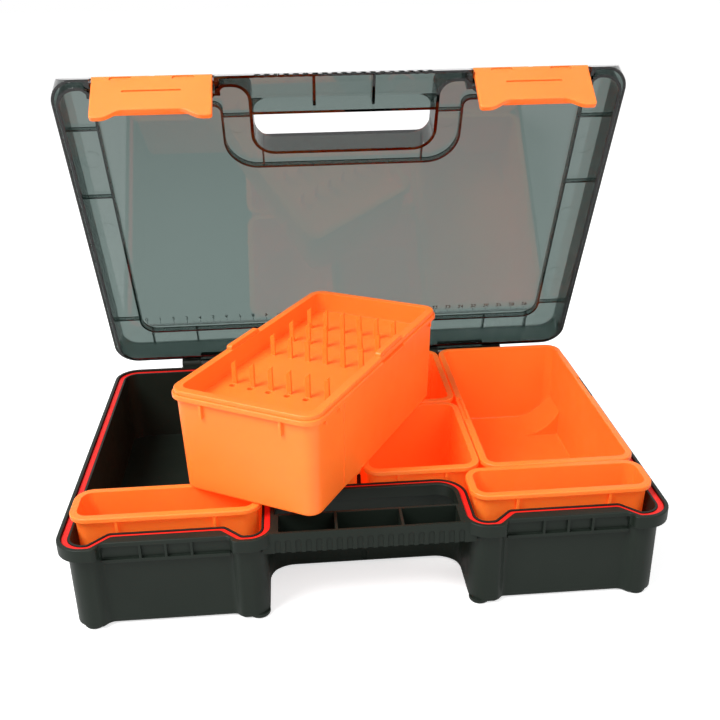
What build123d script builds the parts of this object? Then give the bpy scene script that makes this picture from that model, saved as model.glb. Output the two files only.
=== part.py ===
from build123d import *
import math
import os

# Tackle organizer box, in millimetres: X to the right, Y to the back, Z up.
# The origin is the middle of the tub's underside. The lid stands open as in use.

# Tub and rim
rim_width = 344.0
rim_depth = 238.0
rim_height = 57.0
corner_radius = 16.0
flange_height = 7.5
flange_round = 0.8
floor_thickness = 3.0
wall_inset = 5.0
wall_thickness = 2.3
foot_chamfer = 2.6
foot_radius = 6.2
foot_height = 2.9
foot_round = 1.5
foot_shift = 4.0

# Rim seal groove, from the outside in
outer_lip = 2.3
groove_width = 3.8
groove_depth = 3.0
inner_lip_drop = 1.0
gasket_clearance = 0.25
gasket_height = 1.5

# Notch for the hand at the front
notch_width = 105.5
notch_depth = 47.5
notch_radius = 10.0
mouth_radius = 14.0
notch_groove_width = 3.2
notch_groove_height = 7.0
notch_groove_depth = 0.8

# Latch bays at the front
bay_corner_margin = 7.0
bay_notch_margin = 22.75
bay_radius = 3.6
rim_bay_depth = 6.0
rim_bay_run = 2.0
rim_bay_radius = 3.0
seal_bay_depth = 10.0
seal_bay_widen = 2.2
panel_bay_depth = 4.0
shelf_lip = 2.5
ledge_height = 13.0
ledge_lip = 2.0
ledge_recess = 1.8
ledge_rib_width = 1.4
ledge_rib_spacing = 14.0
ledge_rib_count = 3

# Handle bar of the tub
bar_setback = 5.5
bar_depth = 19.5
bar_height = 13.0
bar_wall = 1.5
bar_end_wall = 2.0
bar_divider_x = 18.5
scallop_count = 19
scallop_width = 3.3
scallop_rise = 8.6
scallop_depth = 0.7
scallop_pitch = 5.7

# Hinges at the back
hinge_back = 5.5
hinge_rise = 0.5
hinge_margin = 80.0
hinge_length = 64.0
hinge_end_knuckle = 14.0
hinge_gap = 0.4
hinge_knuckle_radius = 4.2
hinge_pin_radius = 1.6
hinge_web = 6.0
pin_clearance = 0.05
lid_open_angle = 66.0

# Lid
lid_height = 18.0
lid_seat_gap = 0.3
lid_wall = 1.8
lid_panel = 2.2
lid_round = 4.0
lid_inner_round = 2.4
lid_front_reach = 2.0
lid_front_slope = 9.5
seal_rib_inset = 2.6
seal_rib_width = 2.0
seal_rib_gap = 0.3
rib_root = 0.7
frame_side_inset = 20.0
frame_rear_inset = 18.2
frame_front_inset = 24.0
frame_notch_margin = 22.5
frame_mouth_margin = 21.2
frame_mouth_radius = 6.0
frame_notch_radius = 20.0
frame_radius = 12.0
frame_rib_width = 1.5
frame_rib_height = 4.0
cross_rib_width = 1.2
cross_rib_height = 3.2
cross_rib_side_shares = (-0.33, -0.113, 0.366)
cross_rib_rear_shares = (-0.42, -0.323, 0.323, 0.42)
grip_front_y_share = 0.397
grip_radius = 8.0
grip_wall = 1.8
grip_rib_x = 18.0
grip_rib_height = 10.0
castle_height = 3.0
lid_scallop_rise = 11.0
mouth_rib_y_share = 0.36
mouth_rib_x_share = 0.97

# Latch pockets in the lid
pocket_setback = 11.0
pocket_height = 11.5
pocket_wall = 1.8
pocket_cheek = 3.0

# Latches
latch_pivot_back = 3.0
latch_pivot_rise = 5.0
latch_thickness = 3.0
latch_knuckle_radius = 3.0
latch_side_gap = 2.0
latch_corner_drop = 30.0
latch_middle_drop = 24.5
latch_foot_width = 8.0
latch_foot_flare = 9.0
latch_round = 0.7
latch_flare_radius = 9.0
latch_corner_radius = 2.0
latch_notch_width = 3.0
latch_notch_depth = 1.7
latch_pin_radius = 1.0
latch_pin_reach = 1.5
hook_depth = 3.6
hook_height = 3.2
hook_gap = 0.3
latch_slot_length = 13.0
latch_slot_width = 3.0
latch_slot_depth = 0.9
latch_slot_drop = 0.6
latch_slot_x = 18.0
crease_length = 34.0
crease_width = 1.6
crease_drop = 10.6
latch_inward_angle = 14.0

# Bins
bin_rise = 7.2
bin_side_inset = 5.4
bin_rear_inset = 5.1
bin_notch_inset = 5.2
bin_bay_inset = 2.2
bin_mouth_inset = 6.9
bin_gap = 0.7
long_bin_width = 94.4
bin_overhang = 2.5
bin_lip_height = 2.8
bin_lip_round = 0.8
bin_wall = 1.6
bin_floor = 1.6
bin_draft = 1.5
bin_corner_radius = 10.5
bin_foot_round = 2.0
bin_inner_round = 1.4
bin_rib_width = 1.6
bin_rib_depth = 1.9
bin_rib_gap = 0.5
bin_tall_rib = 9.0
bin_panel_relief = 0.6
long_panel_half = 52.0
middle_rib_x = 14.5
front_rib_x = 27.0
long_rib_shares = (-0.265, 0.265)
long_side_rib_shares = (-0.42, -0.33, 0.42)
scoop_radius = 30.0
scoop_length = 34.0
rim_dip_length = 32.0
rim_dip_depth = 1.4
rim_dip_shift = 12.5

# Rig bin, laid across the other bins
rig_x = -24.45
rig_y = -17.3
rig_turn = -29.6
rig_rest_gap = 0.3

# Tray of the rig bin
tray_flange_inset = 1.2
tray_flange_height = 2.6
tray_clearance = 0.5
tray_wall = 1.5
tray_floor = 1.6
tray_depth = 13.0
tray_round = 0.8
tray_grip_length = 32.0
tray_grip_width = 3.4
tray_grip_rise = 3.0
peg_width = 2.9
peg_thickness = 1.4
peg_height = 15.0
peg_tip = 2.6
peg_pitch = 12.2
peg_columns = 6
peg_row_shares = (-0.246, 0.006, 0.142, 0.279)
peg_hole_radius = 1.5
peg_front_hole_radius = 1.9
peg_hole_offset = 3.2

# One overrun serves all cuts
overrun = 1.0

# Places that follow from the sizes above
groove_in = outer_lip + groove_width
rim_band = wall_inset + wall_thickness
rear_y = rim_depth / 2
front_y = -rim_depth / 2
notch_back_y = front_y + notch_depth
bay_outer = rim_width / 2 - corner_radius - bay_corner_margin
bay_inner = notch_width / 2 + bay_notch_margin
bay_middle = (bay_outer + bay_inner) / 2
miter_share = math.tan(math.radians(22.5))
hinge_centre = rim_width / 2 - hinge_margin
hinge_y = rear_y + hinge_back
hinge_z = rim_height + hinge_rise
hinge_axis = Axis((0, hinge_y, hinge_z), (1, 0, 0))
lid_top = rim_height + lid_height
lid_bottom = rim_height + lid_seat_gap
panel_under = lid_top - lid_panel
groove_floor = rim_height - groove_depth
gasket_top = groove_floor + gasket_height
bin_height = rim_height + bin_rise - floor_thickness
bin_rim_side = rim_width / 2 - bin_side_inset
bin_rim_rear = rear_y - bin_rear_inset
bin_rim_front = notch_back_y + bin_notch_inset
bin_rib_height = bin_rise - bin_lip_height - bin_rib_gap
long_bin_depth = bin_rim_rear - bin_rim_front
middle_bin_width = bin_rim_side - long_bin_width - bin_gap - bin_gap / 2
middle_bin_depth = (long_bin_depth - bin_gap) / 2
front_bin_left = notch_width / 2 + bin_mouth_inset
front_bin_front = front_y + rim_band + seal_bay_depth + bin_bay_inset
front_bin_rear = bin_rim_front - bin_gap
latch_y = front_y + latch_pivot_back
latch_z = rim_height + latch_pivot_rise
ledge_z = rim_height - ledge_height


def prism(face, low, high):
    """A flat outline drawn up from one height to another."""
    return Pos(0, 0, low) * extrude(face, amount=high - low)


def block(x0, x1, y0, y1, z0, z1):
    """A box between two corners."""
    centre = Pos((x0 + x1) / 2, (y0 + y1) / 2, (z0 + z1) / 2)
    return centre * Box(abs(x1 - x0), abs(y1 - y0), abs(z1 - z0))


def rod(x0, x1, y, z, radius):
    """A round bar along X."""
    return Pos((x0 + x1) / 2, y, z) * Rot(0, 90, 0) * Cylinder(radius, abs(x1 - x0))


def closed_outline(right_half):
    """A face that is the same on both sides of X = 0, from rows of x, y and corner radius."""
    left_half = [(-x, y, r) for x, y, r in reversed(right_half)]
    corners = right_half + left_half
    path = FilletPolyline(*[(x, y) for x, y, r in corners], radius=[r for x, y, r in corners], close=True)
    return make_face(path)


def rim_outline(inset, bay_depth, bay_run, bend, widen):
    """The rim's plan, moved inwards by inset, with the notch and the two latch bays."""
    side = rim_width / 2 - inset
    front = front_y + inset
    mouth = notch_width / 2 + inset
    shift = miter_share * inset
    outer = bay_outer + shift + widen
    inner = bay_inner - shift - widen
    corners = [
        (side, rear_y - inset, corner_radius - inset),
        (side, front, corner_radius - inset),
        (outer, front, bend),
        (outer - bay_run, front + bay_depth, bend),
        (inner + bay_run, front + bay_depth, bend),
        (inner, front, bend),
        (mouth, front, mouth_radius - inset),
        (mouth, notch_back_y + inset, notch_radius + inset),
    ]
    return closed_outline(corners)


def seal_outline(inset):
    return rim_outline(inset, seal_bay_depth, seal_bay_depth, bay_radius, seal_bay_widen)


def body_outline(inset):
    return rim_outline(inset, panel_bay_depth, panel_bay_depth, bay_radius, 0)


def scallop_row(rise):
    """A row of upright arches that stand on Z = 0 and reach back to Y = 0."""
    half = scallop_width / 2
    arch = Pos(0, (rise - half - overrun) / 2) * Rectangle(scallop_width, rise - half + overrun)
    arch += Pos(0, rise - half) * Circle(half)
    cutter = Rot(90, 0, 0) * extrude(arch, amount=rim_depth, dir=(0, 0, 1))
    first = (1 - scallop_count) / 2 * scallop_pitch
    return [Pos(first + i * scallop_pitch, 0, 0) * cutter for i in range(scallop_count)]


def hinge_knuckles(side, on_lid):
    """The x ranges of one hinge's knuckles that belong to the lid or to the tub."""
    first = side * hinge_centre - hinge_length / 2
    last = side * hinge_centre + hinge_length / 2
    if on_lid:
        return [(first + hinge_end_knuckle + hinge_gap, last - hinge_end_knuckle - hinge_gap)]
    return [(first, first + hinge_end_knuckle), (last - hinge_end_knuckle, last)]


def base_tub():
    # Walls, with recessed panels below the latches
    body = prism(body_outline(wall_inset), 0, rim_height - flange_height / 2)
    body = chamfer(body.edges().group_by(Axis.Z)[0], foot_chamfer)
    flange = prism(rim_outline(0, rim_bay_depth, rim_bay_run, rim_bay_radius, 0),
                   rim_height - flange_height, rim_height)
    flange = fillet(flange.edges().group_by(Axis.Z)[-1], flange_round)
    tub = body + flange

    # Ledge that each latch hooks under, with a ribbed recess above its lip
    ledge_front = front_y + rim_bay_depth
    ledge_back = front_y + rim_band + panel_bay_depth
    for side in (-1, 1):
        low_x = side * (bay_inner + rim_bay_run)
        high_x = side * (bay_outer - rim_bay_run)
        tub += block(low_x, high_x, ledge_front, ledge_back, ledge_z, rim_height - flange_height + overrun)
        recess = block(low_x, high_x, ledge_front - overrun, ledge_front + ledge_recess,
                       ledge_z + ledge_lip, rim_height - shelf_lip)
        for i in range(ledge_rib_count):
            x = side * bay_middle + (i - (ledge_rib_count - 1) / 2) * ledge_rib_spacing
            recess -= block(x - ledge_rib_width / 2, x + ledge_rib_width / 2, ledge_front - overrun,
                            ledge_front + ledge_recess, ledge_z, rim_height)
        tub -= recess

    # Hollow, wider below the rim in the latch bays
    tub -= prism(body_outline(rim_band), floor_thickness, rim_height - flange_height)
    tub -= prism(seal_outline(rim_band), rim_height - flange_height - overrun, rim_height + overrun)

    # Seal groove and the lower inner lip
    groove = seal_outline(outer_lip) - seal_outline(groove_in)
    tub -= prism(groove, groove_floor, rim_height + overrun)
    tub -= prism(seal_outline(groove_in), rim_height - inner_lip_drop, rim_height + overrun)

    # Handle bar across the notch, an open channel with two dividers
    bar_front = front_y + bar_setback
    bar_rear = bar_front + bar_depth
    bar_end = notch_width / 2
    bar_low = rim_height - bar_height
    bar = block(-bar_end - wall_inset - bar_end_wall, bar_end + wall_inset + bar_end_wall,
                bar_front, bar_rear, bar_low, rim_height)
    cell_end = bar_end - bar_end_wall
    for x0, x1 in ((-cell_end, -bar_divider_x - bar_wall / 2),
                   (-bar_divider_x + bar_wall / 2, bar_divider_x - bar_wall / 2),
                   (bar_divider_x + bar_wall / 2, cell_end)):
        bar -= block(x0, x1, bar_front + bar_wall, bar_rear - bar_wall, bar_low + bar_wall,
                rim_height + overrun)
    scallops = [Pos(0, bar_front + scallop_depth, bar_low) * arch for arch in scallop_row(scallop_rise)]
    bar -= scallops
    wall_pocket = prism(body_outline(rim_band), bar_low - overrun, rim_height - flange_height)
    lip_pocket = prism(seal_outline(outer_lip), rim_height - flange_height - overrun, rim_height + overrun)
    tub += bar - wall_pocket - lip_pocket

    # Small groove at the foot of the notch wall
    tub -= block(-notch_groove_width / 2, notch_groove_width / 2, notch_back_y,
                 notch_back_y + wall_inset + notch_groove_depth, foot_chamfer,
                 foot_chamfer + notch_groove_height)

    # Round feet below the pillars
    foot_in = wall_inset + foot_radius
    foot = Pos(0, 0, foot_height / 2) * Cylinder(foot_radius, foot_height)
    foot = fillet(foot.edges().group_by(Axis.Z)[0], foot_round)
    corner_x = rim_width / 2 - foot_in - foot_shift
    for x, y in ((corner_x, rear_y - foot_in), (corner_x, front_y + foot_in),
                 (notch_width / 2 + foot_in, front_y + foot_in)):
        for side in (-1, 1):
            tub += Pos(side * x, y, 0) * foot

    # Hinge knuckles behind the rim
    for side in (-1, 1):
        for x0, x1 in hinge_knuckles(side, False):
            tub += rod(x0, x1, hinge_y, hinge_z, hinge_knuckle_radius)
            tub += block(x0, x1, rear_y - outer_lip / 2, hinge_y, hinge_z - hinge_web, rim_height)
            tub -= rod(x0 - overrun, x1 + overrun, hinge_y, hinge_z, hinge_pin_radius + pin_clearance)
    return tub


def gasket():
    ring = seal_outline(outer_lip + gasket_clearance) - seal_outline(groove_in - gasket_clearance)
    return prism(ring, groove_floor, gasket_top)


def hinge_pin(side):
    middle = side * hinge_centre
    return rod(middle - hinge_length / 2, middle + hinge_length / 2, hinge_y, hinge_z, hinge_pin_radius)


def lid_volume(inset, low, high, rounding):
    """The lid's outside moved inwards by inset: upright sides and back, and a sloped front."""
    half = rim_width / 2 - inset
    rear = rear_y - inset
    front = front_y - lid_front_reach + inset
    plan = Pos(0, (rear + front) / 2) * RectangleRounded(2 * half, rear - front, corner_radius - inset)
    volume = prism(plan, low, high)
    volume = fillet(volume.edges().group_by(Axis.Z)[-1], rounding)
    slope = Polygon((front, rim_height), (front + lid_front_slope, lid_top),
                    (front + 2 * lid_front_slope, lid_top + lid_height),
                    (front - lid_front_slope, lid_top + lid_height),
                    (front - lid_front_slope, rim_height), align=None)
    wedge = Plane.YZ * extrude(slope, amount=rim_width, both=True)
    return volume - wedge


def latch_span(side):
    """The inner and outer x of one latch."""
    return side * (bay_inner + latch_side_gap), side * (bay_outer - latch_side_gap)


def lid_closed():
    low = gasket_top
    envelope = lid_volume(0, low, lid_top, lid_round)
    hollow = lid_volume(lid_wall, low - overrun, panel_under, lid_inner_round)
    above = block(-rim_width, rim_width, -rim_depth, rim_depth, lid_bottom, lid_top + overrun)
    lid = (envelope & above) - hollow

    # Rib that presses on the gasket, round the notch too
    rib_face = seal_outline(seal_rib_inset) - seal_outline(seal_rib_inset + seal_rib_width)
    ribs = prism(rib_face, gasket_top + seal_rib_gap, panel_under + rib_root)

    # Low rib frame on the panel's underside, passing behind the latches and the hand opening
    frame_side = rim_width / 2 - frame_side_inset
    frame_rear = rear_y - frame_rear_inset
    frame_front = front_y + frame_front_inset
    frame_mouth = notch_width / 2 + frame_mouth_margin
    frame_notch = notch_back_y + frame_notch_margin

    def frame_outline(inset):
        return closed_outline([
            (frame_side - inset, frame_rear - inset, frame_radius - inset),
            (frame_side - inset, frame_front + inset, frame_radius - inset),
            (frame_mouth + inset, frame_front + inset, frame_mouth_radius - inset),
            (frame_mouth + inset, frame_notch + inset, frame_notch_radius + inset),
        ])

    frame_face = frame_outline(0) - frame_outline(frame_rib_width)
    ribs += prism(frame_face, panel_under - frame_rib_height, panel_under + rib_root)
    cross_low = panel_under - cross_rib_height
    cross_high = panel_under + rib_root
    rib_in = seal_rib_inset + seal_rib_width / 2
    for share in cross_rib_side_shares:
        y = share * rim_depth
        for side in (-1, 1):
            ribs += block(side * (frame_side - frame_rib_width / 2), side * (rim_width / 2 - rib_in),
                          y - cross_rib_width / 2, y + cross_rib_width / 2, cross_low, cross_high)
    for share in cross_rib_rear_shares:
        x = share * rim_width
        ribs += block(x - cross_rib_width / 2, x + cross_rib_width / 2, frame_rear - frame_rib_width / 2,
                      rear_y - rib_in, cross_low, cross_high)

    # Short ribs between the frame and the wall of the hand opening
    mouth_wall = notch_width / 2 + seal_rib_inset + seal_rib_width / 2
    mouth_y = -mouth_rib_y_share * rim_depth
    mouth_x = mouth_rib_x_share * notch_width / 2
    for side in (-1, 1):
        ribs += block(side * mouth_wall, side * (frame_mouth + frame_rib_width / 2),
                mouth_y - cross_rib_width / 2,
                      mouth_y + cross_rib_width / 2, cross_low, cross_high)
        ribs += block(side * mouth_x - cross_rib_width / 2, side * mouth_x + cross_rib_width / 2,
                      notch_back_y + rib_in, frame_notch + frame_rib_width / 2, cross_low, cross_high)

    # Wall and ribs of the grip in front of the hand opening
    grip_y = -grip_front_y_share * rim_depth
    grip_side = notch_width / 2 + seal_rib_inset + seal_rib_width / 2
    ribs += block(-grip_side, grip_side, grip_y - grip_wall, grip_y, lid_bottom, panel_under + rib_root)
    for side in (-1, 1):
        x = side * grip_rib_x
        ribs += block(x - grip_wall / 2, x + grip_wall / 2, front_y - lid_front_reach, grip_y - grip_wall / 2,
                      panel_under - grip_rib_height, panel_under + rib_root)

    # Latch pockets, set back from the front, with a cheek at each end for the pin
    for side in (-1, 1):
        ribs += block(side * (bay_inner - pocket_cheek + rim_bay_run / 2),
                side * (bay_outer + pocket_cheek - rim_bay_run / 2),
                      front_y - lid_front_reach - lid_front_slope, front_y + pocket_setback,
                      lid_bottom, rim_height + pocket_height + pocket_wall)
    lid += ribs & envelope
    for side in (-1, 1):
        lid -= block(side * (bay_inner + rim_bay_run / 2), side * (bay_outer - rim_bay_run / 2),
                     front_y - lid_front_reach - lid_front_slope, front_y + pocket_setback - pocket_wall,
                     rim_height - lid_height, rim_height + pocket_height)
        lid -= rod(side * (bay_inner - pocket_cheek), side * (bay_outer + pocket_cheek), latch_y, latch_z,
                   latch_pin_radius + pin_clearance)

    # Hand opening
    hole_back = notch_back_y + seal_rib_inset
    hole_end = notch_width / 2 + seal_rib_inset
    hole = Pos(0, (grip_y + hole_back) / 2) * RectangleRounded(2 * hole_end, hole_back - grip_y, grip_radius)
    lid -= prism(hole, panel_under - rib_root, lid_top + overrun)

    # Arches on the front of the grip and gaps in its lower edge, in step with the tub's bar
    arches = [Pos(0, grip_y, lid_bottom) * arch for arch in scallop_row(lid_scallop_rise)]
    lid -= [arch - lid_volume(scallop_depth, low, lid_top, lid_round) for arch in arches]
    for i in range(scallop_count):
        x = (i - (scallop_count - 1) / 2) * scallop_pitch
        lid -= block(x - scallop_width / 2, x + scallop_width / 2, front_y - lid_front_reach - overrun,
                     front_y + lid_wall, lid_bottom - overrun, lid_bottom + castle_height)

    # Hinge knuckles
    for side in (-1, 1):
        for x0, x1 in hinge_knuckles(side, True):
            lid += rod(x0, x1, hinge_y, hinge_z, hinge_knuckle_radius)
            lid += block(x0, x1, rear_y - lid_wall / 2, hinge_y, lid_bottom + hinge_rise,
                         hinge_z + hinge_knuckle_radius)
            lid -= rod(x0 - overrun, x1 + overrun, hinge_y, hinge_z, hinge_pin_radius + pin_clearance)
    return lid


def latch_closed(side):
    """One latch, closed over the tub's ledge."""
    x0, x1 = sorted(latch_span(side))
    middle = (x0 + x1) / 2
    half = (x1 - x0) / 2
    top = latch_z + latch_knuckle_radius
    corner_z = latch_z - latch_corner_drop
    middle_z = latch_z - latch_middle_drop
    flare_x = half - latch_foot_width
    flat_x = flare_x - latch_foot_flare
    flare = latch_flare_radius
    corner = latch_corner_radius
    face = closed_outline([
        (half, latch_z, corner), (half, corner_z, corner), (flare_x, corner_z, flare),
        (flat_x, middle_z, flare)])
    outer_y = latch_y - latch_knuckle_radius
    plate = Rot(90, 0, 0) * extrude(face, amount=latch_thickness, dir=(0, 0, 1))
    plate = fillet(plate.edges().group_by(Axis.Y)[0], latch_round)
    latch = Pos(middle, outer_y + latch_thickness, 0) * plate
    latch += rod(x0, x1, latch_y, latch_z, latch_knuckle_radius)
    hook_top = ledge_z - hook_gap
    latch += block(x0 + latch_foot_width, x1 - latch_foot_width, outer_y + latch_thickness / 2,
                   latch_y + latch_thickness / 2 + hook_depth, hook_top - hook_height, hook_top)
    slot_z = latch_z - latch_slot_drop
    for x, z, length, width in ((middle - latch_slot_x, slot_z, latch_slot_length, latch_slot_width),
                                (middle + latch_slot_x, slot_z, latch_slot_length, latch_slot_width),
                                (middle, latch_z - crease_drop, crease_length, crease_width)):
        slot = Rot(90, 0, 0) * extrude(SlotOverall(length, width), amount=latch_slot_depth + overrun,
                dir=(0, 0, 1))
        latch -= Pos(x, outer_y + latch_slot_depth, z) * slot
    latch -= block(middle - latch_notch_width / 2, middle + latch_notch_width / 2, outer_y - overrun,
                   latch_y + latch_knuckle_radius + overrun, top - latch_notch_depth, top + overrun)
    latch -= rod(x0 - overrun, x1 + overrun, latch_y, latch_z, latch_pin_radius + pin_clearance)
    return latch


def latch_pin_closed(side):
    return rod(side * (bay_inner + rim_bay_run / 2 - latch_pin_reach),
            side * (bay_outer - rim_bay_run / 2 + latch_pin_reach),
               latch_y, latch_z, latch_pin_radius)


def opened(shape):
    """Swings a piece of the lid from closed to its place in use."""
    return shape.rotate(hinge_axis, -lid_open_angle)


def hanging(shape):
    """Lets a latch drop inwards on its pin, then opens it with the lid."""
    return opened(shape.rotate(Axis((0, latch_y, latch_z), (1, 0, 0)), latch_inward_angle))


def bin_section(width, depth, inset, z, grow):
    return Pos(0, 0, z) * RectangleRounded(width - 2 * inset + 2 * grow, depth - 2 * inset + 2 * grow,
                                           bin_corner_radius - bin_overhang + grow)


def bin_body(width, depth, grow):
    """The tapered outside of a bin below its lip."""
    return loft([bin_section(width, depth, bin_overhang + bin_draft, 0, grow),
                 bin_section(width, depth, bin_overhang, bin_height, grow)])


def open_bin(width, depth, ribs, panel_half):
    """An open bin about X = Y = 0, standing on Z = 0. Ribs are rows of x, y, facing and height."""
    body = bin_body(width, depth, 0)
    body = fillet(body.edges().group_by(Axis.Z)[0], bin_foot_round)
    lip = prism(RectangleRounded(width, depth, bin_corner_radius), bin_height - bin_lip_height, bin_height)
    lip = fillet(lip.edges().group_by(Axis.Z)[-1], bin_lip_round)
    shell = body + lip
    if panel_half:
        window = block(-width, width, -panel_half, panel_half, bin_foot_round,
                bin_height - bin_lip_height + bin_lip_round)
        shell += bin_body(width, depth, bin_panel_relief) & window
    back = bin_overhang + bin_wall
    out = bin_overhang - bin_rib_depth
    across = bin_rib_width / 2
    for x, y, dx, dy, tall in ribs:
        x0, x1 = (x - dx * back, x - dx * out) if dx else (x - across, x + across)
        y0, y1 = (y - dy * back, y - dy * out) if dy else (y - across, y + across)
        shell += block(x0, x1, y0, y1, bin_height - bin_lip_height - tall, bin_height - bin_lip_height / 2)
    inner = bin_corner_radius - bin_overhang - bin_wall
    low = bin_overhang + bin_draft + bin_wall
    high = bin_overhang + bin_wall
    hollow = loft([Pos(0, 0, bin_floor) * RectangleRounded(width - 2 * low, depth - 2 * low, inner),
                   Pos(0, 0, bin_height + overrun) * RectangleRounded(width - 2 * high,
                           depth - 2 * high, inner)])
    hollow = fillet(hollow.edges().group_by(Axis.Z)[0], bin_inner_round)
    return shell - hollow


def long_bin():
    """The large bin, with dipped rims at the middle of its long sides."""
    width = long_bin_width
    depth = long_bin_depth
    ribs = [(share * width, -depth / 2, 0, -1, bin_tall_rib) for share in long_rib_shares]
    ribs += [(share * width, depth / 2, 0, 1, bin_rib_height) for share in long_rib_shares]
    ribs += [(side * width / 2, share * depth, side, 0, bin_rib_height)
             for side in (-1, 1) for share in long_side_rib_shares]
    shell = open_bin(width, depth, ribs, long_panel_half)
    for side in (-1, 1):
        middle = side * rim_dip_shift
        shell -= block(side * (width / 2 - bin_overhang), side * (width / 2 + overrun),
                middle - rim_dip_length / 2,
                       middle + rim_dip_length / 2, bin_height - rim_dip_depth, bin_height + overrun)
    return shell


def right_bin():
    """The large bin in its place, with a scoop in its rear right corner."""
    inside = long_bin_width / 2 - bin_overhang - bin_wall / 2
    rear = long_bin_depth / 2 - bin_overhang - bin_wall / 2
    scoop = block(inside - scoop_radius, inside, rear - scoop_length, rear, bin_floor / 2,
            bin_floor + scoop_radius)
    hollow_y = rear - scoop_length / 2
    round_cut = Rot(90, 0, 0) * Cylinder(scoop_radius, scoop_length + 2 * overrun)
    scoop -= Pos(inside - scoop_radius, hollow_y, bin_floor + scoop_radius) * round_cut
    scoop &= bin_body(long_bin_width, long_bin_depth, -bin_wall / 2)
    x = bin_rim_side - long_bin_width / 2
    y = (bin_rim_front + bin_rim_rear) / 2
    return Pos(x, y, floor_thickness) * (long_bin() + scoop)


def on_rig(shape):
    """Carries a piece of the rig bin from its own centre to its place on the other bins."""
    return Pos(rig_x, rig_y, floor_thickness + bin_height + rig_rest_gap) * Rot(0, 0, rig_turn) * shape


def rig_tray():
    width = long_bin_width - 2 * tray_flange_inset
    depth = long_bin_depth - 2 * tray_flange_inset
    top = bin_height + tray_flange_height
    flange_radius = bin_corner_radius - tray_flange_inset
    dish_in = bin_overhang + bin_wall + tray_clearance
    dish_radius = bin_corner_radius - bin_overhang - bin_wall
    flange = prism(RectangleRounded(width, depth, flange_radius), bin_height, top)
    flange = fillet(flange.edges().group_by(Axis.Z)[-1], tray_round)
    floor_z = top - tray_depth
    dish = prism(RectangleRounded(long_bin_width - 2 * dish_in, long_bin_depth - 2 * dish_in, dish_radius),
                 floor_z - tray_floor, top - tray_round)
    tray = flange + dish
    well_in = dish_in + tray_wall
    tray -= prism(RectangleRounded(long_bin_width - 2 * well_in, long_bin_depth - 2 * well_in,
            dish_radius - tray_round),
                  floor_z, top + overrun)

    # Raised finger grips on the long sides
    for side in (-1, 1):
        x = side * (width / 2 - tray_round - tray_grip_width / 2)
        grip = Box(tray_grip_width, tray_grip_length, tray_grip_rise + tray_round)
        grip = Pos(x, side * rim_dip_shift, top + tray_grip_rise / 2 - tray_round) * grip
        tray += fillet(grip.edges().filter_by(Axis.X).group_by(Axis.Z)[-1], tray_grip_rise / 2)

    # Blade pegs with slanted tips, each with a small hole at its foot
    blade = Polygon((-peg_width / 2, -tray_floor / 2), (peg_width / 2, -tray_floor / 2),
            (peg_width / 2, peg_height),
                    (-peg_width / 2, peg_height - peg_tip), align=None)
    peg = Rot(90, 0, 0) * extrude(blade, amount=peg_thickness, dir=(0, 0, 1))
    pegs = []
    holes = []
    for row, share in enumerate(peg_row_shares):
        y = share * long_bin_depth
        way, radius = (-1, peg_front_hole_radius) if row == 0 else (1, peg_hole_radius)
        hole = Pos(0, 0, -tray_floor / 2) * Cylinder(radius, tray_floor + 2 * overrun)
        for i in range(peg_columns):
            x = (i - (peg_columns - 1) / 2) * peg_pitch
            pegs.append(Pos(x, y + peg_thickness / 2, floor_z) * peg)
            holes.append(Pos(x, y + way * peg_hole_offset, floor_z) * hole)
    tray += pegs
    tray -= holes
    return tray


def middle_bin(column, row):
    """One of the four middle bins. Column is -1 or 1 for left or right, row is -1 or 1 for front or rear."""
    ribs = [(side * middle_rib_x, way * middle_bin_depth / 2, 0, way, bin_rib_height)
            for side in (-1, 1) for way in (-1, 1)]
    shell = open_bin(middle_bin_width, middle_bin_depth, ribs, 0)
    x = column * (middle_bin_width + bin_gap) / 2
    y = (bin_rim_front + bin_rim_rear) / 2 + row * (middle_bin_depth + bin_gap) / 2
    return Pos(x, y, floor_thickness) * shell


def front_bin(side):
    """A narrow bin beside the notch."""
    width = bin_rim_side - front_bin_left
    depth = front_bin_rear - front_bin_front
    ribs = [(side_x * front_rib_x, way * depth / 2, 0, way, tall)
            for side_x in (-1, 1) for way, tall in ((-1, bin_tall_rib), (1, bin_rib_height))]
    shell = open_bin(width, depth, ribs, 0)
    x = side * (bin_rim_side + front_bin_left) / 2
    return Pos(x, (front_bin_front + front_bin_rear) / 2, floor_thickness) * shell


pieces = {
    "base_tub": base_tub(),
    "gasket": gasket(),
    "hinge_pin_left": hinge_pin(-1),
    "hinge_pin_right": hinge_pin(1),
    "lid_shell": opened(lid_closed()),
    "latch_left": hanging(latch_closed(-1)),
    "latch_right": hanging(latch_closed(1)),
    "latch_pin_left": opened(latch_pin_closed(-1)),
    "latch_pin_right": opened(latch_pin_closed(1)),
    "right_bin": right_bin(),
    "rig_bin": on_rig(long_bin()),
    "rig_tray": on_rig(rig_tray()),
    "front_left_bin": front_bin(-1),
    "front_right_bin": front_bin(1),
    "middle_bin_front_left": middle_bin(-1, -1),
    "middle_bin_front_right": middle_bin(1, -1),
    "middle_bin_rear_left": middle_bin(-1, 1),
    "middle_bin_rear_right": middle_bin(1, 1),
}

os.makedirs("parts", exist_ok=True)
for name, shape in pieces.items():
    export_step(shape, f"parts/{name}.step")
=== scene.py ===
# %% [markdown]
# A tackle organizer box: a dark tub with a red gasket, a clear smoke lid that stands open,
# and orange bins that lift out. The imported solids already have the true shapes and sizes,
# so this lesson loads them as a fixed frame, gives each one a finish built from nodes, and
# models the small things that only the eye needs: the ruler, the moulding marks and the lines
# of the grip's flutes.

import math

import bmesh
import bpy
from mathutils import Matrix, Vector


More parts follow.
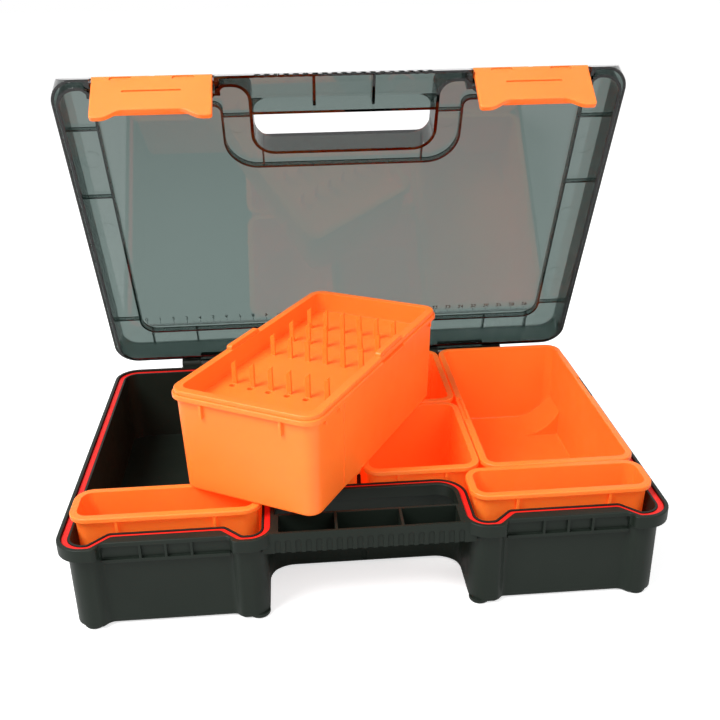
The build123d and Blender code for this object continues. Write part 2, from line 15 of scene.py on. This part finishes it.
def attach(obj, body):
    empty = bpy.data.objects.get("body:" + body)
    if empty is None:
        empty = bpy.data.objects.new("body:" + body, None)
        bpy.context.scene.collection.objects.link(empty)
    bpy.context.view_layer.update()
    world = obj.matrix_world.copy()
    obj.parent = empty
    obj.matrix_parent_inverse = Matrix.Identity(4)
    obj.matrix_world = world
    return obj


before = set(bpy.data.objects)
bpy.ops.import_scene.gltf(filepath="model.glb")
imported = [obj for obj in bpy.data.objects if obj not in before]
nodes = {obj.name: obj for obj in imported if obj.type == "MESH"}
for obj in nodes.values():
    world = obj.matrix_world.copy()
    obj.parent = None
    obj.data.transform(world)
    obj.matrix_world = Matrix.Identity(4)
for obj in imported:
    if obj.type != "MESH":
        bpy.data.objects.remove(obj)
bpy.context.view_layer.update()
print("nodes loaded:", len(nodes))

# %% [markdown]
# Sizes are written in millimetres, as on a drawing, and MM turns them into Blender's metres. The
# lid is described as if it were shut, because that is how a maker measures it, and one matrix
# swings a piece open.

# %% Sizes of the lid and its swing
MM = 0.001
HINGE = Vector((0.0, 124.5 * MM, 57.5 * MM))
LID_OPEN = math.radians(66)
LID_TOP = 75 * MM
LID_UNDERSIDE = 72.8 * MM
SWING = Matrix.Translation(HINGE) @ Matrix.Rotation(-LID_OPEN, 4, "X") @ Matrix.Translation(-HINGE)
print("lid swing, degrees:", round(math.degrees(LID_OPEN)))

# %% [markdown]
# All finishes share one start: a Principled shader that reads Object coordinates, so a grain
# keeps its real scale on every piece. A fine noise drives the bump, a broad one shifts the colour
# a little, as pigment and flow do in moulded plastic, and a third one breaks up the gloss. A Bevel
# node rounds the look of every sharp edge without a change to the mesh.

# %% Helpers for moulded finishes
NOISE_LOW, NOISE_HIGH = 0.3, 0.7
TONE_SCALE = 14
GLOSS_SCALE = 60
EDGE_RADIUS = 0.4 * MM
EDGE_SAMPLES = 4


def finish_base(name):
    material = bpy.data.materials.new(name)
    material.use_nodes = True
    tree = material.node_tree
    shader = tree.nodes["Principled BSDF"]
    place = tree.nodes.new("ShaderNodeTexCoord")
    return material, tree, shader, place.outputs["Object"]


def noise(tree, place, scale, detail=2.0):
    node = tree.nodes.new("ShaderNodeTexNoise")
    node.inputs["Scale"].default_value = scale
    node.inputs["Detail"].default_value = detail
    tree.links.new(place, node.inputs["Vector"])
    return node.outputs["Fac"]


def between(tree, factor, low, high):
    node = tree.nodes.new("ShaderNodeMapRange")
    node.inputs["From Min"].default_value = NOISE_LOW
    node.inputs["From Max"].default_value = NOISE_HIGH
    node.inputs["To Min"].default_value = low
    node.inputs["To Max"].default_value = high
    tree.links.new(factor, node.inputs["Value"])
    return node.outputs["Result"]


def two_tones(tree, factor, dark, light):
    ramp = tree.nodes.new("ShaderNodeValToRGB")
    first, last = ramp.color_ramp.elements
    first.position, first.color = NOISE_LOW, (*dark, 1)
    last.position, last.color = NOISE_HIGH, (*light, 1)
    tree.links.new(factor, ramp.inputs["Fac"])
    return ramp.outputs["Color"]


def grain(tree, shader, factor, strength, depth):
    soft = tree.nodes.new("ShaderNodeBevel")
    soft.samples = EDGE_SAMPLES
    soft.inputs["Radius"].default_value = EDGE_RADIUS
    bump = tree.nodes.new("ShaderNodeBump")
    bump.inputs["Strength"].default_value = strength
    bump.inputs["Distance"].default_value = depth
    tree.links.new(soft.outputs["Normal"], bump.inputs["Normal"])
    tree.links.new(factor, bump.inputs["Height"])
    tree.links.new(bump.outputs["Normal"], shader.inputs["Normal"])


def moulded(name, dark, light, gloss, grain_scale, grain_strength, grain_depth):
    material, tree, shader, place = finish_base(name)
    tone = two_tones(tree, noise(tree, place, TONE_SCALE), dark, light)
    tree.links.new(tone, shader.inputs["Base Color"])
    sheen = between(tree, noise(tree, place, GLOSS_SCALE), *gloss)
    tree.links.new(sheen, shader.inputs["Roughness"])
    grain(tree, shader, noise(tree, place, grain_scale), grain_strength, grain_depth)
    return material, shader


def dress(node, material):
    finishes = nodes[node].data.materials
    finishes.clear()
    finishes.append(material)


# %% [markdown]
# The tub is dark grey-green polypropylene with a fine spark-eroded grain. A real tub like this
# looks almost black in its shadows and shows a soft sheen on its rounded rim.

# %% Tub plastic
tub_plastic, shader = moulded(
    "tub_plastic", dark=(0.0095, 0.0145, 0.0105), light=(0.0135, 0.0190, 0.0145),
    gloss=(0.36, 0.48), grain_scale=1400, grain_strength=0.16, grain_depth=0.2 * MM)
shader.inputs["Specular IOR Level"].default_value = 0.17
dress("base_tub", tub_plastic)
print("tub finish:", tub_plastic.name)

# %% [markdown]
# The bins and latches are orange polypropylene that lets a little light in, so thin rims glow and
# deep corners turn red. Subsurface scattering gives that without any painted shade. The shader
# also glows a little in orange. This is a painted glow, since the plastic is no lamp, and it lifts
# the faces in shade to a brighter orange than the lamps give.


# %% Orange plastic for the bins and the latches
def orange_plastic(name, dark, light, gloss):
    material, shader = moulded(
        name, dark, light, gloss, grain_scale=1100, grain_strength=0.10, grain_depth=0.2 * MM)
    shader.inputs["Subsurface Weight"].default_value = 0.35
    shader.inputs["Subsurface Radius"].default_value = (1.0, 0.32, 0.08)
    shader.inputs["Subsurface Scale"].default_value = 6 * MM
    shader.inputs["Specular IOR Level"].default_value = 0.35
    # Emission: a painted orange glow that lifts the bins and latches where they are in shade.
    shader.inputs["Emission Color"].default_value = (1.0, 0.085, 0.006, 1)
    shader.inputs["Emission Strength"].default_value = 0.24
    return material


bin_plastic = orange_plastic(
    "bin_plastic", dark=(0.91, 0.205, 0.026), light=(0.96, 0.235, 0.034), gloss=(0.36, 0.46))
latch_plastic = orange_plastic(
    "latch_plastic", dark=(0.93, 0.22, 0.038), light=(0.97, 0.25, 0.048), gloss=(0.34, 0.42))
bins = [node for node in nodes if "_bin" in node or node == "rig_tray"]
latches = ["latch_left", "latch_right"]
for node in bins:
    dress(node, bin_plastic)
for node in latches:
    dress(node, latch_plastic)
print("orange pieces:", len(bins) + len(latches))

# %% [markdown]
# The lid is a clear smoke plastic about two millimetres thick. Its tint sits in the material and
# not on its skin: a Volume Absorption shader takes light away with every millimetre, so the flat
# panel stays clear and the walls and ribs, which are seen along their depth, turn dark as they do
# on the real lid.

# %% Smoke plastic of the lid
lid_plastic, tree, shader, place = finish_base("lid_plastic")
shader.inputs["Base Color"].default_value = (0.96, 0.985, 0.98, 1)
shader.inputs["Transmission Weight"].default_value = 1.0
shader.inputs["IOR"].default_value = 1.56
sheen = between(tree, noise(tree, place, scale=9), low=0.012, high=0.03)
tree.links.new(sheen, shader.inputs["Roughness"])
grain(tree, shader, noise(tree, place, scale=6, detail=0.0), strength=0.03, depth=2 * MM)
smoke = tree.nodes.new("ShaderNodeVolumeAbsorption")
smoke.inputs["Color"].default_value = (0.0, 0.12, 0.09, 1)
smoke.inputs["Density"].default_value = 800
tree.links.new(smoke.outputs["Volume"], tree.nodes["Material Output"].inputs["Volume"])
dress("lid_shell", lid_plastic)
print("lid finish:", lid_plastic.name)

# %% [markdown]
# The gasket is soft red rubber. The pins are drawn steel wire: metal with fine lines along its
# length, made by a noise that is stretched by a Mapping node.

# %% Gasket rubber
gasket_rubber, shader = moulded(
    "gasket_rubber", dark=(0.80, 0.010, 0.006), light=(0.90, 0.014, 0.008),
    gloss=(0.45, 0.6), grain_scale=700, grain_strength=0.2, grain_depth=0.2 * MM)
dress("gasket", gasket_rubber)
print("gasket finish:", gasket_rubber.name)

# %% Steel wire of the pins
pin_steel, tree, shader, place = finish_base("pin_steel")
shader.inputs["Metallic"].default_value = 1.0
stretch = tree.nodes.new("ShaderNodeMapping")
stretch.inputs["Scale"].default_value = (12, 2500, 2500)
tree.links.new(place, stretch.inputs["Vector"])
drawn = noise(tree, stretch.outputs["Vector"], scale=1.0)
tone = two_tones(tree, drawn, dark=(0.46, 0.46, 0.47), light=(0.62, 0.62, 0.63))
tree.links.new(tone, shader.inputs["Base Color"])
tree.links.new(between(tree, drawn, low=0.22, high=0.38), shader.inputs["Roughness"])
pins = [node for node in nodes if "pin_" in node]
for node in pins:
    dress(node, pin_steel)
print("steel pins:", len(pins))

# %% [markdown]
# The ruler is printed on the outside of the lid, so from inside its figures look flipped. Each
# tick is a thin slip of ink. One bmesh takes all the ticks, each made by create_cube and a matrix
# that sets its size and place on the shut lid, and the whole mesh is then swung open.


# %% Helpers that turn a bmesh into a piece that rides on a body
def piece_from(bm, name, material, body, move):
    bmesh.ops.transform(bm, matrix=move, verts=bm.verts)
    mesh = bpy.data.meshes.new(name)
    bm.to_mesh(mesh)
    bm.free()
    mesh.materials.append(material)
    thing = bpy.data.objects.new(name, mesh)
    bpy.context.scene.collection.objects.link(thing)
    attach(thing, body)


def add_box(bm, centre, size):
    scale = Matrix.Diagonal((*size, 1))
    bmesh.ops.create_cube(bm, size=1.0, matrix=Matrix.Translation(centre) @ scale)


# %% Ink of the ruler
INK = 0.12 * MM
INK_LEVEL = LID_TOP + INK / 2
ruler_ink, shader = moulded(
    "ruler_ink", dark=(0.030, 0.040, 0.038), light=(0.045, 0.058, 0.055),
    gloss=(0.5, 0.65), grain_scale=900, grain_strength=0.1, grain_depth=0.1 * MM)
print("ink:", ruler_ink.name)

# %% Ticks of the ruler, one each millimetre
RULER_START = -147.8 * MM
RULER_Y = 98.6 * MM
RULER_MILLIMETRES = 300
CENTIMETRE, HALF_CENTIMETRE = 10, 5
TICK_WIDE = 0.3 * MM
CENTIMETRE_TICK, HALF_TICK, MILLIMETRE_TICK = 4.2 * MM, 3.0 * MM, 1.9 * MM


def tick_length(step):
    if step % CENTIMETRE == 0:
        return CENTIMETRE_TICK
    return HALF_TICK if step % HALF_CENTIMETRE == 0 else MILLIMETRE_TICK


bm = bmesh.new()
for step in range(RULER_MILLIMETRES + 1):
    x, length = RULER_START + step * MM, tick_length(step)
    add_box(bm, (x, RULER_Y - length / 2, INK_LEVEL), (TICK_WIDE, length, INK))
ruler_length = RULER_MILLIMETRES * MM
add_box(bm, (RULER_START + ruler_length / 2, RULER_Y, INK_LEVEL),
        (ruler_length + TICK_WIDE, TICK_WIDE, INK))
piece_from(bm, "ruler_ticks", ruler_ink, "lid", SWING)
print("ruler ticks:", RULER_MILLIMETRES + 1)

# %% [markdown]
# The figures are text. A text object is turned into a mesh first, and then its place is put into
# the mesh, so that the piece sits at the origin as the solids do.

# %% Figures of the ruler
FIGURE_TALL = 4.6 * MM
FIGURE_GAP = 4.4 * MM
FIGURE_Y = RULER_Y - CENTIMETRE_TICK - FIGURE_GAP
FIGURE_COUNT = RULER_MILLIMETRES // CENTIMETRE + 1
WELD = 0.001 * MM
figures = bmesh.new()
for number in range(FIGURE_COUNT):
    words = bpy.data.curves.new("figure", "FONT")
    words.body = str(number)
    words.size = FIGURE_TALL
    words.align_x = "CENTER"
    words.extrude = INK / 2
    holder = bpy.data.objects.new("figure", words)
    bpy.context.scene.collection.objects.link(holder)
    bpy.context.view_layer.update()
    shaped = holder.evaluated_get(bpy.context.evaluated_depsgraph_get())
    flat = bpy.data.meshes.new_from_object(shaped)
    x = RULER_START + number * CENTIMETRE * MM
    flat.transform(Matrix.Translation((x, FIGURE_Y, INK_LEVEL)))
    figures.from_mesh(flat)
    bpy.data.objects.remove(holder)
    bpy.data.curves.remove(words)
    bpy.data.meshes.remove(flat)
bmesh.ops.remove_doubles(figures, verts=figures.verts, dist=WELD)
piece_from(figures, "ruler_figures", ruler_ink, "lid", SWING)
print("ruler figures:", FIGURE_COUNT)

# %% [markdown]
# A moulded lid shows thin round lines where the mould's pins pushed it out. Each one starts as a
# flat face. Inset turns its edge into a narrow band, the middle is deleted, and extrude gives the
# band its height. The side of so small a step turns the light away, so on the real lid it reads
# as a dark line. Here the band is given a dark opaque colour, which is painted shade. A hair of
# air keeps the band off the lid's own face.

# %% Helpers for thin raised lines
LINE_WIDE = 0.32 * MM
LINE_TALL = 0.2 * MM
LINE_AIR = 0.02 * MM
# The raised lines get a dark opaque colour: painted shade for the light that a step's side turns
# away.
lid_line_painted_shade, shader = moulded(
    "lid_line_painted_shade", dark=(0.030, 0.040, 0.037), light=(0.045, 0.057, 0.053),
    gloss=(0.25, 0.4), grain_scale=900, grain_strength=0.1, grain_depth=0.1 * MM)


def raised_lines(bm, outlines, level):
    for points in outlines:
        corners = [bm.verts.new((x, y, level - LINE_TALL)) for x, y in points]
        middle = bm.faces.new(corners)
        bmesh.ops.inset_region(
            bm, faces=[middle], thickness=LINE_WIDE, use_boundary=True, use_even_offset=True)
        bmesh.ops.delete(bm, geom=[middle], context="FACES_ONLY")
    made = bmesh.ops.extrude_face_region(bm, geom=bm.faces[:], use_keep_orig=True)
    lifted = [v for v in made["geom"] if isinstance(v, bmesh.types.BMVert)]
    bmesh.ops.translate(bm, verts=lifted, vec=(0, 0, LINE_TALL - LINE_AIR))
    bmesh.ops.recalc_face_normals(bm, faces=bm.faces)


def arc(x, y, radius, start, stop, steps):
    turns = [start + (stop - start) * i / steps for i in range(steps + 1)]
    return [(x + radius * math.cos(t), y + radius * math.sin(t)) for t in turns]


# %% Moulding marks on the lid's border
MARK_RADIUS = 6.2 * MM
MARK_SIDES = 48
MARK_SIDE_X, MARK_SIDE_YS = 160.2 * MM, (-55 * MM, 3 * MM, 60 * MM)
MARK_REAR_XS, MARK_REAR_Y = (40 * MM, 85 * MM, 126 * MM, 158 * MM), 109.5 * MM
MARK_FRONT_X, MARK_FRONT_Y = 66 * MM, -78 * MM
mark_places = []
for side in (-1, 1):
    mark_places += [(side * MARK_SIDE_X, y) for y in MARK_SIDE_YS]
    mark_places += [(side * x, MARK_REAR_Y) for x in MARK_REAR_XS]
    mark_places.append((side * MARK_FRONT_X, MARK_FRONT_Y))
last_turn = 2 * math.pi * (MARK_SIDES - 1) / MARK_SIDES
rings = [arc(x, y, MARK_RADIUS, 0, last_turn, MARK_SIDES - 1) for x, y in mark_places]
bm = bmesh.new()
raised_lines(bm, rings, LID_UNDERSIDE)
piece_from(bm, "lid_marks", lid_line_painted_shade, "lid", SWING)
print("moulding marks:", len(rings))

# %% [markdown]
# The lid's grip has a row of finger flutes. From inside they show as thin lines round long narrow
# pads, so each pad is drawn as an outline with two half-circle ends and raised in the same way.

# %% Flutes of the lid's grip
FLUTE_PITCH = 5.7 * MM
FLUTE_COUNT = 19
FLUTE_RADIUS = 1.9 * MM
FLUTE_FRONT = -105.4 * MM
FLUTE_REAR = -99.6 * MM
FLUTE_STEPS = 10
pads = []
for index in range(FLUTE_COUNT):
    x = (index - (FLUTE_COUNT - 1) / 2) * FLUTE_PITCH
    rear_end = arc(x, FLUTE_REAR, FLUTE_RADIUS, 0, math.pi, FLUTE_STEPS)
    front_end = arc(x, FLUTE_FRONT, FLUTE_RADIUS, math.pi, 2 * math.pi, FLUTE_STEPS)
    pads.append(rear_end + front_end)
bm = bmesh.new()
raised_lines(bm, pads, LID_UNDERSIDE)
piece_from(bm, "lid_flutes", lid_line_painted_shade, "lid", SWING)
print("flutes:", len(pads))

# %% [markdown]
# The floor and the backdrop are white and plain. The floor keeps the box's soft shadow, and it is
# lifted towards white for the camera and for light that comes through the lid. The world looks
# white to the camera, to gloss and to the clear lid, while it lights the box more gently.

# %% Floor
FLOOR_REACH = 6.0
FLOOR_DROP = 0.3 * MM
FLOOR_LIFT = 0.62


def either(tree, first, second):
    node = tree.nodes.new("ShaderNodeMath")
    node.operation = "MAXIMUM"
    tree.links.new(first, node.inputs[0])
    tree.links.new(second, node.inputs[1])
    return node.outputs["Value"]


bm = bmesh.new()
bmesh.ops.create_grid(bm, x_segments=1, y_segments=1, size=FLOOR_REACH)
bmesh.ops.transform(bm, matrix=Matrix.Translation((0, 0, -FLOOR_DROP)), verts=bm.verts)
floor_mesh = bpy.data.meshes.new("floor")
bm.to_mesh(floor_mesh)
bm.free()
floor = bpy.data.objects.new("floor", floor_mesh)
bpy.context.scene.collection.objects.link(floor)
floor_paint, tree, shader, place = finish_base("floor_paint")
shader.inputs["Base Color"].default_value = (0.86, 0.86, 0.86, 1)
shader.inputs["Roughness"].default_value = 0.9
shader.inputs["Specular IOR Level"].default_value = 0.0
shader.inputs["Emission Color"].default_value = (1, 1, 1, 1)
rays = tree.nodes.new("ShaderNodeLightPath").outputs
lift = tree.nodes.new("ShaderNodeMath")
lift.operation = "MULTIPLY"
tree.links.new(either(tree, rays["Is Camera Ray"], rays["Is Transmission Ray"]), lift.inputs[0])
lift.inputs[1].default_value = FLOOR_LIFT
tree.links.new(lift.outputs["Value"], shader.inputs["Emission Strength"])
floor_mesh.materials.append(floor_paint)
print("floor:", floor.name)

# %% World
world = bpy.data.worlds.new("studio")
world.use_nodes = True
bpy.context.scene.world = world
tree = world.node_tree
back = tree.nodes["Background"]
rays = tree.nodes.new("ShaderNodeLightPath").outputs
seen = either(tree, rays["Is Camera Ray"], rays["Is Glossy Ray"])
level = tree.nodes.new("ShaderNodeMapRange")
level.inputs["To Min"].default_value = 0.45
level.inputs["To Max"].default_value = 1.0
tree.links.new(either(tree, seen, rays["Is Transmission Ray"]), level.inputs["Value"])
back.inputs["Color"].default_value = (1, 1, 1, 1)
tree.links.new(level.outputs["Result"], back.inputs["Strength"])
bpy.context.scene.view_settings.view_transform = "Standard"
print("world:", world.name)

# %% [markdown]
# Two large soft lamps stand in for studio softboxes: one high at the front left, and a weaker one
# at the right.


# %% Lamps
def softbox(name, place, aim, size, watts):
    lamp = bpy.data.lights.new(name, "AREA")
    lamp.shape = "DISK"
    lamp.size = size
    lamp.energy = watts
    holder = bpy.data.objects.new(name, lamp)
    bpy.context.scene.collection.objects.link(holder)
    holder.location = place
    holder.rotation_euler = (Vector(aim) - Vector(place)).to_track_quat("-Z", "Y").to_euler()
    print("lamp:", name, watts, "W")


softbox("key_softbox", place=(-0.85, -0.55, 1.25), aim=(0, 0, 0.06), size=0.8, watts=25)
softbox("fill_softbox", place=(0.5, -1.0, 0.9), aim=(0, 0, 0.08), size=0.8, watts=4)

# %% [markdown]
# The camera was fitted to the photograph from the box's own straight edges. Its axes come from
# three turns: yaw about the upright, pitch down, and a small roll.

# %% Camera
FOCAL_PIXELS = 930.485
PICTURE = 720
PRINCIPAL_X, PRINCIPAL_Y = 365.24, 371.68
YAW, PITCH, ROLL = -0.079, 0.427, -0.015
EYE = Vector((-35.56, -542.93, 347.84)) * MM
SENSOR = 36
NEAREST = 10 * MM
ahead = Vector((0, math.cos(PITCH), -math.sin(PITCH)))
upward = Vector((0, math.sin(PITCH), math.cos(PITCH)))
across = Vector((1, 0, 0))
right = math.cos(ROLL) * across + math.sin(ROLL) * upward
top = -math.sin(ROLL) * across + math.cos(ROLL) * upward
turn = Matrix.Rotation(YAW, 3, "Z")
axes = Matrix((turn @ right, turn @ top, -(turn @ ahead))).transposed()
lens = bpy.data.cameras.new("camera")
lens.sensor_width = SENSOR
lens.lens = FOCAL_PIXELS / PICTURE * SENSOR
lens.shift_x = (PICTURE / 2 - PRINCIPAL_X) / PICTURE
lens.shift_y = (PRINCIPAL_Y - PICTURE / 2) / PICTURE
lens.clip_start = NEAREST
camera = bpy.data.objects.new("camera", lens)
camera.matrix_world = Matrix.Translation(EYE) @ axes.to_4x4()
bpy.context.scene.collection.objects.link(camera)
bpy.context.scene.camera = camera
print("lens, mm:", round(lens.lens, 2))
